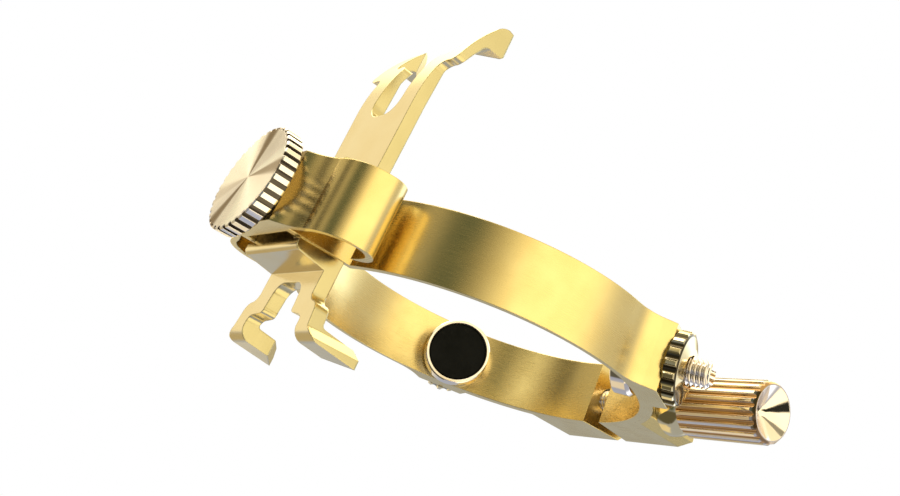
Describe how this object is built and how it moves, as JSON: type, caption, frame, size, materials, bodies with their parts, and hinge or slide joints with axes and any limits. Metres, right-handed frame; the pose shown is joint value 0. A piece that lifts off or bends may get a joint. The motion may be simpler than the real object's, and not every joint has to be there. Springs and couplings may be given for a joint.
{
  "type": "saxophone ligature",
  "caption": "Narrow sprung metal ring that holds a reed on a saxophone mouthpiece with a forked plate, two side pads and a clamp screw.",
  "frame": {"origin": "centre of the ring, on the mouthpiece's axis", "axes": "+Z along the mouthpiece towards the plate's longer fork, -Y towards the reed, the plate and its knob, +Y towards the clamp ears, +X the side with the thumbscrew's grip"},
  "size_m": [0.0368, 0.0425, 0.029],
  "materials": {
    "saddle": "brushed, gold lacquer",
    "near_half_band": "brushed, gold lacquer",
    "ball_washer": "polished, gold plate",
    "far_half_band": "brushed, gold lacquer",
    "thumbscrew_grip": "polished, gold plate",
    "thumbscrew_shank": "polished, gold plate",
    "plate_knob": "satin, pale gold plate",
    "plate_screw": "polished, gold plate",
    "reed_plate": "satin, pale gold plate",
    "near_pad_cup": "polished, gold plate",
    "near_pad_rubber": "matte",
    "near_pad_stud": "polished, gold plate",
    "near_pad_nut": "polished, gold plate",
    "far_pad_cup": "polished, gold plate",
    "far_pad_rubber": "matte",
    "far_pad_stud": "polished, gold plate",
    "far_pad_nut": "polished, gold plate"
  },
  "bodies": {
    "frame": {"saddle": "saddle", "near_half_band": "near_half_band", "ball_washer": "ball_washer"},
    "far_half": {"far_half_band": "far_half_band"},
    "thumbscrew": {"thumbscrew_grip": "thumbscrew_grip", "thumbscrew_shank": "thumbscrew_shank"},
    "knob": {"plate_knob": "plate_knob", "plate_screw": "plate_screw"},
    "plate": {"reed_plate": "reed_plate"},
    "near_pad": {"near_pad_cup": "near_pad_cup", "near_pad_rubber": "near_pad_rubber", "near_pad_stud": "near_pad_stud"},
    "near_nut": {"near_pad_nut": "near_pad_nut"},
    "far_pad": {"far_pad_cup": "far_pad_cup", "far_pad_rubber": "far_pad_rubber", "far_pad_stud": "far_pad_stud"},
    "far_nut": {"far_pad_nut": "far_pad_nut"}
  },
  "joints": [
    {"name": "band_close", "type": "hinge", "parent": "frame", "child": "far_half", "pos_m": [-0.00407, -0.01418, 0], "axis": [0, 0, -1], "range_deg": [0, 1.2]},
    {"name": "thumbscrew_turn", "type": "hinge", "parent": "frame", "child": "thumbscrew", "pos_m": [0, 0.01655, 0], "axis": [-1, 0, 0], "range_deg": [0, 580]},
    {"name": "plate_slide", "type": "slide", "parent": "frame", "child": "plate", "axis": [0, 1, 0], "range_m": [-0.00015, 0.00135]},
    {"name": "plate_screw_turn", "type": "hinge", "parent": "frame", "child": "knob", "pos_m": [0, -0.021, 0], "axis": [0, -1, 0], "range_deg": [-121, 1081]},
    {"name": "near_pad_slide", "type": "slide", "parent": "frame", "child": "near_pad", "axis": [-0.8805, -0.4741, 0], "range_m": [0, 0.0009]},
    {"name": "near_nut_turn", "type": "hinge", "parent": "frame", "child": "near_nut", "pos_m": [0.01541, 0.0083, 0], "axis": [0.8805, 0.4741, 0], "range_deg": [0, 811]},
    {"name": "far_pad_slide", "type": "slide", "parent": "far_half", "child": "far_pad", "axis": [0.8805, -0.4741, 0], "range_m": [0, 0.0009]},
    {"name": "far_nut_turn", "type": "hinge", "parent": "far_half", "child": "far_nut", "pos_m": [-0.01541, 0.0083, 0], "axis": [-0.8805, 0.4741, 0], "range_deg": [0, 811]}
  ],
  "couplings": [
    {"joint": "thumbscrew_turn", "follows": "band_close", "ratio": 482.68},
    {"joint": "plate_screw_turn", "follows": "plate_slide", "rad_per_m": 13963},
    {"joint": "near_nut_turn", "follows": "near_pad_slide", "rad_per_m": 15708},
    {"joint": "far_nut_turn", "follows": "far_pad_slide", "rad_per_m": 15708}
  ]
}
